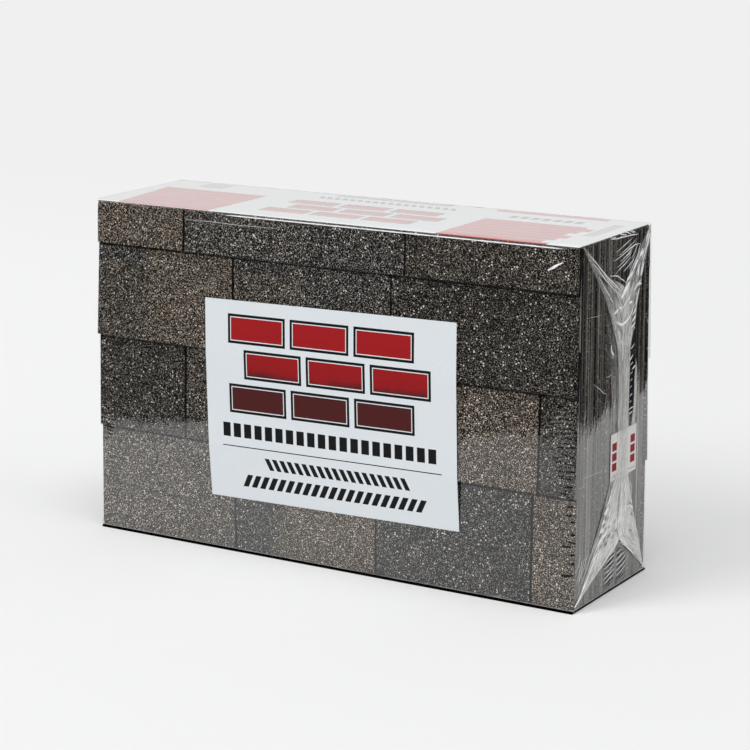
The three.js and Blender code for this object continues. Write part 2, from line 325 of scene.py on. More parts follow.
def granule_material(name, tabs, side, index):
    """Mineral granules in the blends of a course."""
    shader = new_shader(name)
    place = shader.place()
    x, _, z = place.parts()
    high, low = (height * MM for height in COURSE_EDGES[side][index:index + 2])
    along, down = x * -side, high - z
    wander = (z - (low + high) / 2) * -LEANS[index] + place.ragged(40, 3, 0.030)
    moved = wander * near_soft_changes(along, tabs) + along
    brown_share, brightness, blueness = blend_numbers(moved, tabs)

    number, height, shade = granule_cells(place)
    dark = number.ramp(DARK_GRANULES)
    colour = dark.mix(brown_share, number.ramp(BROWN_GRANULES))
    for band in shadow_bands(place, along, down, SHADOW_BANDS[index] if side == FRONT else []):
        colour = colour.mix(band * 0.8, dark)
        blueness = blueness + band
    colour = colour.times(place.patches(22, 0.92, 1.08) * shade * brightness)
    colour = colour.mix((blueness * 0.5).clamped(), colour.times(BLUE_TINT))
    colour = colour.mix(fleck_cells(place), FLECK)
    # Bare asphalt along the joints, and a painted shadow under the lap above.
    colour = colour.mix(joints_and_lap_shadow(place, along, down, tabs, index), JOINT_BLACK_AND_LAP_SHADOW)
    return shader.solid(colour, roughness=0.85, specular=0.1, normal=height.bump(0.0007, 0.8))


def edge_material():
    """Cut edges of the two-ply shingles: dark asphalt in streaks up the edge, with granules torn through."""
    shader = new_shader("shingle_edges")
    place = shader.place()
    streaks = place.stretched((40, 800, 5)).noise(1.0, 3, 0.6)
    layers = place.stretched((8, 480, 1.2)).noise(1.0, 2)
    number, height, _ = granule_cells(place)
    torn = place.noise(420, 2).span(0.45, 0.62, 0.0, 0.6)
    colour = streaks.ramp(EDGE_STREAKS).mix(torn, number.ramp(BROWN_GRANULES))
    colour = colour.times(layers.span(0.36, 0.62, 0.30, 1.5))
    relief = (streaks * 1.5 + height * 0.5).bump(0.0008, 0.9)
    return shader.solid(colour, roughness=0.8, specular=0.2, normal=relief)


def assign(node, material):
    materials = NODES[node].data.materials
    materials.clear()
    materials.append(material)


def finish_shingles():
    for side, (side_name, tabs) in COURSES.items():
        for index, course in enumerate(tabs):
            name = f"{side_name}_course_{index + 1}"
            assign(name, granule_material(name, course, side, index))
    cut_edges = edge_material()
    for name in NODES:
        if name.startswith("shingle_"):
            assign(name, cut_edges)


# ---------------------------------------------------------------- printed paper

PAPER_WHITE = (0.735, 0.775, 0.80)
END_PAPER_WHITE = (0.69, 0.66, 0.64)
TOP_PAPER_WHITE = (0.93, 0.94, 0.945)
INK_BLACK = (0.006, 0.006, 0.007)
INK_RED_FALL = [
    (0.0, (0.074, 0.012, 0.012)), (0.38, (0.074, 0.012, 0.012)), (0.5, (0.30, 0.007, 0.010)),
    (1.0, (0.350, 0.009, 0.012)),
]
INK_RED_END = (0.26, 0.012, 0.02)
FRONT_LABEL_TILT = math.radians(1)


def centre_of(node):
    low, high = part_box(node)
    return (low + high) / 2


class Print:
    """Masks in a print's own plane, in metres from its middle."""

    def __init__(self, across, up):
        self.across, self.up = across, up

    def box(self, left, right, low, high):
        return self.across.within(left, right) * self.up.within(low, high)

    def strokes(self, first, last, low, high, pitch, width, slant=0.0):
        """A band of upright or slanting strokes, from the number of the first to that of the last."""
        leaning = self.up * slant + self.across
        wide = leaning.within((first - 0.1) * pitch, (last + 0.9) * pitch)
        return wide * self.up.within(low, high) * (leaning % pitch < width)

    def blocks(self, centre_up, rows, columns, size, gap, stagger):
        """How deep a point lies inside rows of staggered blocks: above 0 inside, in metres."""
        pitch, pitch_up = size[0] + gap, size[1] + gap
        height = self.up - (centre_up - rows * pitch_up / 2)
        shift = (height / pitch_up).floor() % 2.0 * (2 * stagger) - stagger
        moved = self.across - shift + columns * pitch / 2
        deep_up = size[1] / 2 - abs(height % pitch_up - pitch_up / 2)
        deep_across = size[0] / 2 - abs(moved % pitch - pitch / 2)
        inside = height.within(0.0, rows * pitch_up) * moved.within(0.0, columns * pitch)
        return deep_up.least(deep_across) * inside


def outlined_blocks(colour, depth, outline, keyline, red):
    """Blocks with a dark outline, a white keyline and a red middle."""
    colour = colour.mix(depth > 1e-6, INK_BLACK)
    colour = colour.mix(depth > outline, PAPER_WHITE)
    return colour.mix(depth > outline + keyline, red)


def paper_base(place, white):
    return place.patches(900, 0.975, 1.02).times(white)


def paper(shader, place, colour):
    cockle = place.noise(14, 2).bump(0.0012, 0.35)
    fibres = place.noise(1400, 2).bump(0.00004, 0.3, cockle)
    return shader.solid(colour, roughness=0.5, specular=0.15, normal=fibres)


def front_label_material():
    shader = new_shader("front_label")
    place = shader.place()
    tilted = {"Vector": place, "Location": centre_of("front_label"), "Rotation": (0, -FRONT_LABEL_TILT, 0)}
    across, _, up = shader.value("Mapping", tilted, vector_type="TEXTURE").parts()
    art = Print(across, up)
    depth = art.blocks(0.037, 3, 3, (0.066, 0.029), 0.0055, 0.009)
    fall = place.noise(45, 2) * 0.012 + up
    red = fall.span(-0.012, 0.09).ramp(INK_RED_FALL)
    colour = outlined_blocks(paper_base(place, PAPER_WHITE), depth, 0.0026, 0.0009, red)
    for mask in (
        art.strokes(-10, 9, -0.0365, -0.0225, 0.0122, 0.0085),
        art.box(-0.123, 0.124, -0.0462, -0.0452),
        art.strokes(-12, 6, -0.066, -0.0545, 0.0085, 0.0052, 0.5),
        art.strokes(-6, 14, -0.086, -0.0735, 0.0098, 0.0062, -0.5),
    ):
        colour = colour.mix(mask, INK_BLACK)
    return paper(shader, place, colour)


def end_label_material():
    shader = new_shader("end_label")
    place = shader.place()
    centre = centre_of("end_label")
    _, y, z = place.parts()
    across, up = y - centre.y, z - centre.z
    colour = paper_base(place, END_PAPER_WHITE)
    for side in (-1, 1):
        depth = Print(across - side * 0.0195, up).blocks(0.0, 3, 1, (0.0095, 0.0075), 0.0022, 0.0)
        colour = colour.mix(depth > 1e-6, INK_RED_END)
    colour = colour.mix(Print(across, up).box(-0.0245, 0.0245, -0.0192, -0.0186), grey(0.2))
    return paper(shader, place, colour)


TOP_RED = (0.62, 0.15, 0.13)
TOP_GREY = (0.30, 0.31, 0.32)
TOP_STRIPE = (0.85, 0.84, 0.83)
STRIPE_PITCH = 0.0135


def top_sheet_material():
    """White, with a striped red panel at each end, and blocks, bars and grey strokes between them."""
    shader = new_shader("top_sheet")
    place = shader.place()
    x, y, _ = place.parts()
    art = Print(x, y)
    in_stripe = y % STRIPE_PITCH
    stripes = in_stripe.span(0.0, STRIPE_PITCH, 0.82, 1.12)
    red = (stripes * place.patches(30, 0.9, 1.1)).times(TOP_RED)
    red = red.mix(in_stripe.span(0.0011, 0.0007, 0.0, 0.75), TOP_STRIPE)
    ragged = (y / STRIPE_PITCH).floor() * 0.618
    ragged = shader.math("FRACT", ragged) * 0.016 + x
    skewed = y * 0.14 + x
    colour = paper_base(place, TOP_PAPER_WHITE)
    for left, right, low, high in ((-0.250, -0.131, -0.074, 0.029), (0.120, 0.229, 0.062, 0.0775)):
        colour = colour.mix(art.box(left - 0.02, right, low, high) * (skewed > left), red)
    colour = colour.mix(art.box(0.122, 0.250, -0.077, 0.021) * (ragged < 0.240), red)
    for left, right, low, high in ((-0.228, -0.198, 0.044, 0.070), (-0.252, -0.146, 0.0735, 0.0765)):
        colour = colour.mix(art.box(left, right, low, high), grey(0.62))
    depth = art.blocks(-0.010, 3, 3, (0.052, 0.020), 0.006, 0.008)
    colour = outlined_blocks(colour, depth, 0.0016, 0.0006, red)
    for mask in (
        art.strokes(-7, 10, 0.044, 0.054, 0.0088, 0.006, 0.4),
        art.strokes(-11, 3, 0.062, 0.072, 0.0088, 0.006, -0.4),
        art.strokes(12, 18, 0.035, 0.047, 0.0115, 0.0075),
    ):
        colour = colour.mix(mask, TOP_GREY)
    return paper(shader, place, colour.mix(art.box(0.243, 0.255, -0.020, 0.048), grey(0.6)))


# ---------------------------------------------------------------- film shapes, in millimetres

END_X = 269.1                       # outer side of the film over each end
FILM_LOW, FILM_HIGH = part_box("film_wrap")
FILM_HALF_DEPTH = round((FILM_HIGH.y - FILM_LOW.y) / 2 / MM, 2)
CENTRE_Y = round((FILM_HIGH.y + FILM_LOW.y) / 2 / MM, 2)
TOP_Z = round(FILM_HIGH.z / MM, 2)
LEFT, RIGHT = -1, 1                 # the sign of x at each end
ENDS = ((LEFT, "left"), (RIGHT, "right"))
# The lap edges of each side. The back's first lap makes no step in the film.
LAPS = {FRONT: COURSE_EDGES[FRONT][1:-1], BACK: COURSE_EDGES[BACK][2:-1]}
LAP_STEP, LAP_TUCK = 3.9, 1.6       # how far a lap stands out, and how high the slant under it is
EXPOSURE = 94                       # from one lap to the next
FOOT_Z, FOOT_DEPTH, FOOT_RECESS, FOOT_SLOPE = 2.0, 5, 2.0, 0.018
TOP_ROUND, FOOT_ROUND, END_ROUND, FOOT_FLARE = 2.0, 0.7, 1.2, 1.8
EDGE_ZONE = 34                      # how far the puckers reach from the upright edges
# The front courses stop short of the left end: height, and how far in their ends lie there.
LEFT_INSETS = [
    (0, 0.1), (41, 0.1), (47, 1.2), (108, 1.5), (109, 1.7), (202, 1.7), (203, 1.6), (294, 4.1), (297, 5.3),
    (329, 5.3), (331.5, 7.0), (338.8, 7.2),
]
STACK_RECESS = 9.5                  # from the plane of the laps in to the first inner shingle
# How far the relief of the tight film stands out, and how far apart its folds lie.
PUCKER, PUCKER_PITCH = 0.42, 4.4
SLACK_WAVE, SLACK_RIPPLE = 0.22, 0.05
SHEET_LINES, END_WAVE = 0.007, 0.10
ARCH_FOLD, ARCH_PITCH = 0.5, 4.6
CORNER_FOLD, CORNER_PITCH = 0.25, 8.5
ARCH_MIDDLE, ARCH_TOP = 88, 37      # where the arch of folds stands on an end
# How far apart the points of the film's surfaces lie.
ACROSS_STEP, WALL_STEP, WALL_COLUMNS = 6.0, 4.0, 90
EDGE_STEP, EDGE_STEP_TOP, EDGE_FINE_TO, EDGE_STEP_ALONG = 0.75, 2.5, 212, 1.1
END_STEP, END_STEP_TOP, END_FINE_TO = 0.6, 1.6, 45
END_COLUMNS = {"left": 110, "right": 190}
LAP_GAP = 0.4                       # no other row lies this near to a lap edge
SHARP_ANGLE, SHARP_ANGLE_CRUMPLED = math.radians(40), math.radians(80)


def lerp(low, high, share):
    return low + (high - low) * share


def ease(value, low, high):
    """0 at low and before it, 1 at high and past it, with a smooth rise. low may be the larger."""
    share = min(1.0, max(0.0, (value - low) / (high - low)))
    return share * share * (3 - 2 * share)


def between(value, low, full, full_to, high):
    """1 from full to full_to, and 0 before low and past high."""
    return ease(value, low, full) * ease(value, high, full_to)


def rough(x, y, seed):
    """Smooth noise from -1 to 1."""
    return noise.noise(Vector((x, y, 7.31 * seed)))


def quarter(steps):
    """The steps round a quarter turn, each as its sine and cosine."""
    return [(math.sin(turn), math.cos(turn)) for turn in np.linspace(0, math.pi / 2, steps + 1)]


def crests(distance, pitch):
    """0 to 1: rounded crests with wider hollows between them."""
    return (0.5 + 0.5 * math.sin(2 * math.pi * distance / pitch)) ** 2


def face_recess(z, side):
    """How far the courses' faces lie in from the lap edges at a height."""
    laps = LAPS[side]
    if z < laps[-1]:
        return FOOT_RECESS + FOOT_SLOPE * max(0.0, z - FOOT_Z)
    lap = next(bottom for bottom in laps if z >= bottom)
    return LAP_STEP * (z - lap) / EXPOSURE


def upright_heights(side, fine, coarse, fine_top):
    """Heights up a face, with a row on each side of every lap edge."""
    heights, z = [], FOOT_Z + FOOT_ROUND
    while z < TOP_Z - TOP_ROUND - coarse:
        heights.append(z)
        z += fine if z < fine_top else coarse
    for lap in LAPS[side]:
        heights = [height for height in heights if not lap - LAP_TUCK - LAP_GAP < height < lap + LAP_GAP]
        heights += [lap - LAP_TUCK, lap]
    return sorted(heights)


def half_section(side, fine, coarse, fine_top):
    """The film's path from the middle of the base, up one face, to the middle of the top."""
    foot = FILM_HALF_DEPTH - FOOT_RECESS
    path = [(depth, 0.0) for depth in np.arange(0, foot - FOOT_DEPTH - 1, ACROSS_STEP)]
    path += [(foot - FOOT_DEPTH, 0.0), (foot - 1.0, 0.03), (foot + FOOT_FLARE, 0.08)]
    for sine, cosine in quarter(4)[:-1]:
        path.append((foot - FOOT_ROUND * (1 - sine), FOOT_Z + FOOT_ROUND * (1 - cosine)))
    heights = upright_heights(side, fine, coarse, fine_top)
    path += [(FILM_HALF_DEPTH - face_recess(z, side), z) for z in heights]
    shoulder = FILM_HALF_DEPTH - face_recess(TOP_Z - TOP_ROUND, side)
    for sine, cosine in quarter(5):
        path.append((shoulder - TOP_ROUND * (1 - cosine), TOP_Z - TOP_ROUND * (1 - sine)))
    return path + [(depth, TOP_Z) for depth in np.arange(shoulder - TOP_ROUND - ACROSS_STEP, 1, -ACROSS_STEP)]


def whole_section(fine, coarse, fine_top):
    """The closed path round the stack, front first, as pairs of y and z."""
    front, back = (half_section(side, fine, coarse, fine_top) for side in (FRONT, BACK))
    return [(CENTRE_Y - depth, z) for depth, z in front] + [(CENTRE_Y + depth, z) for depth, z in back[:0:-1]]


def pucker(x, z, side):
    """Short level folds that the shrinking film makes beside an upright edge. They stand out by this much."""
    from_edge = END_X - abs(x)
    if from_edge > EDGE_ZONE or not 3 < z < 330:
        return 0.0
    middle = 9 + 4 * rough(z / 40, side, 3) + 3 * ease(z, 110, 160)
    reach = math.exp(-((from_edge - middle) / 6.5) ** 2)
    present = ease(rough(z / 9, from_edge / 16, 5 + side), -0.35, 0.15)
    strength = lerp(0.10, 1.0, ease(z, 215, 190)) * lerp(0.35, 1.0, ease(z, 85, 110))
    strength *= ease(from_edge, 0.3, 2)
    if x < 0:
        strength *= between(z, 84, 92, 116, 122)
    bent = z + 0.10 * from_edge + 1.2 * rough(from_edge / 9, z / 14, 11 + side)
    return PUCKER * reach * present * strength * crests(bent, PUCKER_PITCH)


def slack(x, z, side):
    """The slow waves of the film between the laps, which never press into the granules."""
    room = min(1.0, face_recess(z, side)) * ease(z, 336, 325)
    wave = SLACK_WAVE * (1 + rough(x / 70, z / 45, 20 + side))
    return room * (wave + SLACK_RIPPLE * rough(x / 17, z / 26, 23 + side))


def end_ripple(across, up, end):
    """How far the film over an end stands out: sheet edges that show through, and folds near the base."""
    lines = SHEET_LINES * rough(across / 1.8, up / 90, 31 + end)
    wave = END_WAVE * rough(across / 22, up / 60, 33 + end)
    off_middle = across - ARCH_MIDDLE
    arch = ARCH_TOP - 0.010 * off_middle ** 2
    under_arch = ease(up, arch + 1, arch - 4) * ease(up, 0, 3)
    under_arch *= between(abs(off_middle), 1, 3, 22, 30)
    under_arch *= ease(rough(across / 11, up / 5, 37 + end), -0.35, 0.1)
    bent = up - 0.22 * across + 1.2 * rough(across / 14, up / 20, 35 + end)
    corner = between(across, 4, 8, 18, 26) * between(up, 16, 26, 46, 54)
    slanted = 0.5 + 0.5 * math.sin(2 * math.pi * (up - 1.3 * across) / CORNER_PITCH)
    folds = ARCH_FOLD * under_arch * crests(bent, ARCH_PITCH) + CORNER_FOLD * corner * slanted
    return lines + wave + folds


def add_piece(name, points, faces, material, strands=None):
    """A piece of film from points in millimetres. strands says where each point lies in crumpled film: across
    its strands, along them, and how milky it is."""
    piece = add_mesh(name, (np.array(points, dtype=float) * MM).tolist(), faces, material)
    mesh = piece.data
    mesh.shade_smooth()
    if strands is not None:
        attribute = mesh.attributes.new("strand", "FLOAT_VECTOR", "POINT")
        attribute.data.foreach_set("vector", np.array(strands, dtype=np.float32).ravel())
    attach(piece, "root")
    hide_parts("film_wrap")
    return mesh


def add_surface(name, rows, material, loop=False, flip=False, strands=None):
    """A film surface through rows of points in millimetres. loop joins the last column to the first."""
    points = np.array(rows, dtype=float)
    row_count, column_count = points.shape[:2]
    index = np.arange(row_count * column_count).reshape(row_count, column_count)
    if loop:
        index = np.hstack([index, index[:, :1]])
    corners = [index[:-1, :-1], index[:-1, 1:], index[1:, 1:], index[1:, :-1]]
    if flip:
        corners.reverse()
    faces = np.stack(corners, axis=-1).reshape(-1, 4)
    mesh = add_piece(name, points.reshape(-1, 3), faces.tolist(), material, strands)
    mesh.set_sharp_from_angle(angle=SHARP_ANGLE if strands is None else SHARP_ANGLE_CRUMPLED)


def wall_point(x, y, z):
    """A point of the sleeve, with its slack and puckers added on the front and the back."""
    side = FRONT if y < CENTRE_Y else BACK
    on_face = FOOT_Z + FOOT_ROUND + 0.1 < z < TOP_Z - TOP_ROUND - 0.1
    out = pucker(x, z, side) + slack(x, z, side) if on_face else 0.0
    if side == BACK:
        out = min(out, face_recess(z, side))
    return (x, y + side * out, z)


def end_inset(end, y, z):
    """How far short of the stack's end the film turns, where the front courses stop short of it."""
    if end == RIGHT:
        return 0.0
    heights, insets = zip(*LEFT_INSETS)
    behind = y - (CENTRE_Y - FILM_HALF_DEPTH + face_recess(z, FRONT))
    return float(np.interp(z, heights, insets)) * min(1.0, max(0.0, 1 - behind / STACK_RECESS))


def drawn_in(end, x, y, z):
    """The x of a sleeve point near an end, moved in with the end of the course that lies under it."""
    inner = END_X - EDGE_ZONE
    return inner + (x - inner) * (1 - end_inset(end, y, z) / EDGE_ZONE)


def end_point(end, x, y, z, inset):
    """A point of the rounded edge between the sleeve and an end."""
    x = drawn_in(end, x, y, z)
    y = CENTRE_Y + (y - CENTRE_Y) * (1 - inset / FILM_HALF_DEPTH)
    return (end * x, y, TOP_Z / 2 + (z - TOP_Z / 2) * (1 - 2 * inset / TOP_Z))


def sleeve(material):
    """The four walls between the upright edges, and the finer strips beside those edges."""
    inner, edge = END_X - EDGE_ZONE, END_X - END_ROUND
    wide = whole_section(WALL_STEP, WALL_STEP, 0)
    walls = [[wall_point(x, y, z) for y, z in wide] for x in np.linspace(-inner, inner, WALL_COLUMNS)]
    add_surface("film_sleeve", walls, material, loop=True, flip=True)
    narrow = whole_section(EDGE_STEP, EDGE_STEP_TOP, EDGE_FINE_TO)
    for end, end_name in ENDS:
        rows = []
        for x in np.arange(inner, edge, EDGE_STEP_ALONG):
            rows.append([wall_point(end * drawn_in(end, x, y, z), y, z) for y, z in narrow])
        for sine, cosine in quarter(4):
            x, inset = edge + END_ROUND * sine, END_ROUND * (1 - cosine)
            rows.append([end_point(end, x, y, z, inset) for y, z in narrow])
        add_surface(f"film_edge_{end_name}", rows, material, loop=True, flip=end == RIGHT)


def end_panels(material):
    """The single layer of film over each end."""
    low, high = 0.2, TOP_Z - END_ROUND
    heights = [*np.arange(low, END_FINE_TO, END_STEP), *np.arange(END_FINE_TO, high, END_STEP_TOP), high]
    for end, end_name in ENDS:
        rows, columns = [], END_COLUMNS[end_name]
        for z in heights:
            shoulder = END_ROUND + ease(z, TOP_Z - TOP_ROUND - 0.2, TOP_Z) * TOP_ROUND
            straight = min(z, TOP_Z - TOP_ROUND)
            front, back = (CENTRE_Y + face * (FILM_HALF_DEPTH - face_recess(straight, face) - shoulder)
                           for face in (FRONT, BACK))
            row = []
            for column in range(columns + 1):
                y = lerp(front, back, column / columns)
                calm = ease(min(y - front, back - y), 0, 3)
                x = drawn_in(end, END_X, y, z) + end_ripple(y - FACE_Y, z - FACE_Z, end) * calm
                row.append((end * (x - 0.3 * max(0.0, 1.5 - z)), y, z))
            rows.append(row)
        add_surface(f"film_end_{end_name}", rows, material, flip=end == LEFT)


# Places on an end are measured as they look from the front right: across from FACE_Y, and up from FACE_Z. A
# point that stands out from the end is drawn this much further to the front and up for each millimetre.
FACE_Y, FACE_Z = -78.95, 2.4
OUT_ACROSS, OUT_UP = -2.1, 0.6
FRONT_LEFT, FRONT_UP = 263.1, 2.0   # where places on the front are measured from


def end_place(end, across, up, out):
    z = min(TOP_Z - 0.3, max(0.5, FACE_Z + up + OUT_UP * out))
    return (end * (END_X + out), FACE_Y + across + OUT_ACROSS * out, z)


def front_place(across, up, out):
    y = CENTRE_Y - FILM_HALF_DEPTH + face_recess(up + FRONT_UP, FRONT)
    return (across - FRONT_LEFT, y - 0.35 - 0.5 * out, up + FRONT_UP)


# A gather hangs in two sheets from the corners of the top, through the neck, to the corners of the base. Each
# station is the sheet's front edge and its back edge (across, height) and how milky each edge is.
FRONT_SHEET = [
    (9, 335.5, 12, 336.2, 0.25, 0.2), (23, 320, 24, 327, 0.34, 0.24), (40, 300, 41, 312, 0.36, 0.28),
    (57, 280, 62, 299, 0.38, 0.32), (70, 259, 82, 292, 0.55, 0.5), (76, 247, 98, 283, 0.8, 1.0),
    (82, 236, 110, 262, 0.85, 1.1), (86, 224, 111, 240, 0.8, 0.9), (88, 205, 111, 215, 0.72, 0.8),
    (89, 185, 111, 190, 0.72, 0.76), (89, 160, 111, 163, 0.74, 0.78), (89, 135, 111, 137, 0.38, 0.38),
    (87, 112, 112, 113, 0.45, 0.45), (81, 100, 112, 97, 0.92, 1.0), (72, 86, 110, 80, 0.88, 1.05),
    (62, 70, 106, 62, 0.85, 1.05), (52, 55, 98, 46, 0.88, 1.05), (42, 43, 84, 36, 0.88, 0.95),
    (30, 29, 64, 28, 0.9, 0.8), (18, 16, 40, 18, 0.95, 0.75), (9, 7, 20, 9, 1.0, 0.85),
    (4, 2.5, 7, 3, 1.0, 0.95),
]
BACK_SHEET = [
    (149, 336, 151.5, 334, 0.95, 0.85), (143, 329, 149, 321, 0.6, 0.6), (133, 320, 143, 309, 0.55, 0.5),
    (122, 310, 138, 300, 0.6, 0.45), (110, 300, 134, 289, 0.75, 0.45), (100, 289, 129, 277, 1.0, 0.6),
    (94, 272, 124, 263, 1.1, 0.65), (92, 250, 121, 248, 1.0, 0.65), (94, 232, 114, 231, 0.85, 0.7),
    (97, 212, 112, 212, 0.75, 0.7), (99, 190, 111.5, 190, 0.72, 0.68), (99, 160, 111.5, 160, 0.72, 0.7),
    (99, 132, 112, 132, 0.32, 0.3), (99, 108, 113, 107, 0.45, 0.45), (97, 90, 117, 92, 1.0, 0.8),
    (94, 72, 122, 77, 1.05, 0.75), (92, 57, 127, 63, 1.05, 0.75), (96, 45, 133, 49, 1.0, 0.75),
    (108, 36, 139, 36, 0.9, 0.7), (121, 27, 143, 25, 0.8, 0.7), (134, 18, 147, 14, 0.75, 0.75),
    (144, 9, 150, 5, 0.85, 0.9), (149.5, 2.5, 151, 2, 0.95, 0.95),
]
POCKET_SHEET = [
    (112, 242, 121, 242, 0.0, 0.4), (112, 232, 121.5, 232, 0.2, 0.9), (112, 222, 122, 222, 0.5, 0.6),
    (110, 213, 124, 213, 0.9, 0.8), (110, 205, 125, 205, 1.0, 1.0), (110, 195, 125, 195, 1.0, 1.0),
    (110, 180, 125, 180, 1.0, 1.0), (110, 168, 124, 168, 0.8, 0.9), (110, 158, 122, 158, 0.4, 0.45),
    (110, 150, 120, 150, 0.1, 0.1),
]
BAND_SHEET = [
    (123.5, 214, 124.5, 214, 0.0, 0.0), (123.8, 208, 126.6, 208, 0.7, 0.5), (122.5, 195, 128, 196, 1.0, 0.8),
    (122, 175, 127.5, 175, 1.0, 0.8), (120.5, 162, 126.5, 162, 0.9, 0.8), (117, 149, 125, 149, 0.7, 0.6),
]
WEB_SHEET = [
    (80, 112, 90, 110, 0.5, 0.8), (71, 97, 86, 96, 0.45, 0.9), (62, 82, 80, 80, 0.45, 0.9),
    (52, 67, 72, 64, 0.5, 0.9), (42, 53, 62, 50, 0.45, 0.9), (28, 36, 48, 34, 0.2, 0.6),
    (14, 18, 28, 18, 0.1, 0.5), (5, 4, 9, 5, 0.1, 0.5),
]
FLAP_SHEET = [
    (56, 268, 72, 262, 0.0, 0.06), (63, 250, 80, 246, 0.06, 0.14), (67, 230, 84, 228, 0.1, 0.16),
    (72, 205, 88, 204, 0.1, 0.16), (76, 180, 89, 180, 0.08, 0.14), (80, 160, 89, 160, 0.04, 0.08),
]
ROW_STEP, SHEET_COLUMNS, PLEATS = 1.3, 34, 4
GATHER_SEEDS = {"left": 70, "right": 50}
SHEET_OUT, PLEAT_DEPTH, STRAND_DEPTH, CRUMPLE_DEPTH = 0.25, 0.55, 0.16, 0.26


def through(values, position):
    """A smooth curve through evenly numbered values, at any position between them."""
    last = len(values) - 1
    start = min(int(position), last - 1)
    share = position - start
    before, here, there, after = (values[min(last, max(0, start + step))] for step in (-1, 0, 1, 2))
    slope_here, slope_there = (there - before) / 2, (after - here) / 2
    square, cube = share ** 2, share ** 3
    return ((2 * cube - 3 * square + 1) * here + (cube - 2 * square + share) * slope_here
            + (3 * square - 2 * cube) * there + (cube - square) * slope_there)


def gather_lift(up):
    """How far the gathered sheets stand off the end: least at the corners and most at the neck."""
    fan = min(1.0, (TOP_Z - up) / 118) if up > 160 else min(1.0, up / 104)
    return max(0.0, fan) ** 0.6


def gathered_sheet(name, stations, end, base, seed, material, pleated=1.0):
    """A sheet through its stations, with pleats, strands and crumples. base is how far off its neck lies."""
    columns = np.array(stations, dtype=float).T
    centres = (columns[0:2] + columns[2:4]) / 2
    length = float(np.hypot(*np.diff(centres, axis=1)).sum())
    row_count = int(length / ROW_STEP)
    rows, strands, along, previous = [], [], 0.0, None
    for step in range(row_count + 1):
        position = (len(stations) - 1) * step / row_count
        a0, up0, a1, up1, milk0, milk1 = (through(column, position) for column in columns)
        middle = ((a0 + a1) / 2, (up0 + up1) / 2)
        along += math.dist(middle, previous) if previous else 0.0
        previous = middle
        width = math.dist((a0, up0), (a1, up1))
        row = []
        for column in range(SHEET_COLUMNS + 1):
            share = column / SHEET_COLUMNS
            a, up = lerp(a0, a1, share), lerp(up0, up1, share)
            lift = gather_lift(up)
            deep = min(PLEAT_DEPTH * lift, width / 14) * pleated
            turn = 2 * math.pi * PLEATS * share + 2.5 * rough(along / 35, 0, seed)
            pleat = deep * (0.5 + 0.5 * math.cos(turn))
            strand = STRAND_DEPTH * rough(share * width / 1.8, along / 22, seed + 1) * min(1.0, width / 12)
            calm = 1 - 0.8 * between(up, 60, 90, 195, 230)
            crumple = CRUMPLE_DEPTH * rough(a / 4.6, up / 4.6, seed + 2) * lift * calm
            out = base * lift + pleat + strand + crumple
            row.append(end_place(end, a, up, SHEET_OUT + max(0.0, out)))
            hemmed = lerp(1.2, 1.0, between(share, 0.0, 0.05, 0.95, 1.0))
            strands.append((share * max(width, 6) + 7 * seed, along, lerp(milk0, milk1, share) * hemmed))
        rows.append(row)
    add_surface(name, rows, material, flip=end == RIGHT, strands=strands)


# Folds that stand up on a gather or in the tight film, drawn white as painted highlights. Each is its width,
# then the across and height of the points it runs through.
GATHER_CREASES = [
    (1.8, 105.5, 293.5, 111, 297), (1.1, 99.5, 288, 110, 294.5, 119, 301, 126, 306.5),
    (1.2, 83, 255.5, 89, 251, 95.5, 249.5, 103.5, 252, 110.5, 254.5),
    (0.9, 20.5, 327.5, 34, 318.5, 48, 308.5, 61.5, 299.5, 77, 290, 89, 282),
    (0.7, 30.5, 317.5, 44, 307.5, 57.5, 297.5, 69.5, 289.5, 85, 280),
    (0.7, 42, 303.5, 53.5, 292.5, 63.5, 283.5, 73, 273.5), (0.6, 52, 304.5, 65.5, 294.5, 79, 287),
    (0.9, 65.5, 300, 79, 298, 90.5, 293, 98.5, 289), (1.1, 115, 278, 124, 282.5, 131.5, 285.5),
    (0.9, 114, 274.5, 122, 279, 128.5, 282), (1.0, 123, 268, 117, 263, 112, 258),
    (1.7, 71.5, 235, 72, 229.5, 77.5, 224), (1.3, 149, 334.5, 142.5, 322.5, 135.5, 310, 129.5, 300),
    (1.0, 146, 329.5, 136.5, 317, 126, 306, 116, 298), (1.2, 120, 293, 126, 298.5, 130.5, 302),
    (1.5, 128.5, 310, 134.5, 315.5), (1.2, 131.5, 297, 136.5, 305, 142.5, 315.5),
    (1.5, 60, 55, 64.5, 56, 69.5, 58), (1.2, 55, 60.5, 62, 62, 67.5, 62.5),
    (1.2, 62.5, 72, 69.5, 79.5, 77.5, 83.5), (1.4, 7, 4, 19, 13, 30.5, 24, 44, 38, 58, 54),
    (0.9, 111.5, 72.5, 118.5, 71.5, 125, 69), (0.8, 95, 41.5, 104.5, 37.5, 119.5, 28, 136, 15.5, 150.5, 3.5),
    (0.8, 94, 42, 83, 39, 69.5, 32, 52, 25, 30.5, 16.5), (1.0, 105.5, 101.5, 107.5, 87.5, 111.5, 75.5),
    (1.2, 128, 309, 138, 319, 147, 330), (1.0, 104, 292, 116, 304, 128, 314),
    (1.0, 88, 262, 98, 268, 111, 276), (1.5, 118, 258, 124, 270, 130, 283),
    (1.4, 78, 256, 90, 251, 104, 253, 116, 260), (1.3, 92, 236, 96, 226, 95, 216),
    (1.2, 71, 84, 60, 68, 46, 50), (1.1, 79, 97, 73, 88, 66, 82), (1.0, 58, 60, 64, 64, 73, 66),
    (1.0, 48, 48, 55, 52, 66, 53), (1.0, 38, 38, 46, 41, 58, 42), (0.9, 118, 96, 121, 88, 121, 80),
]
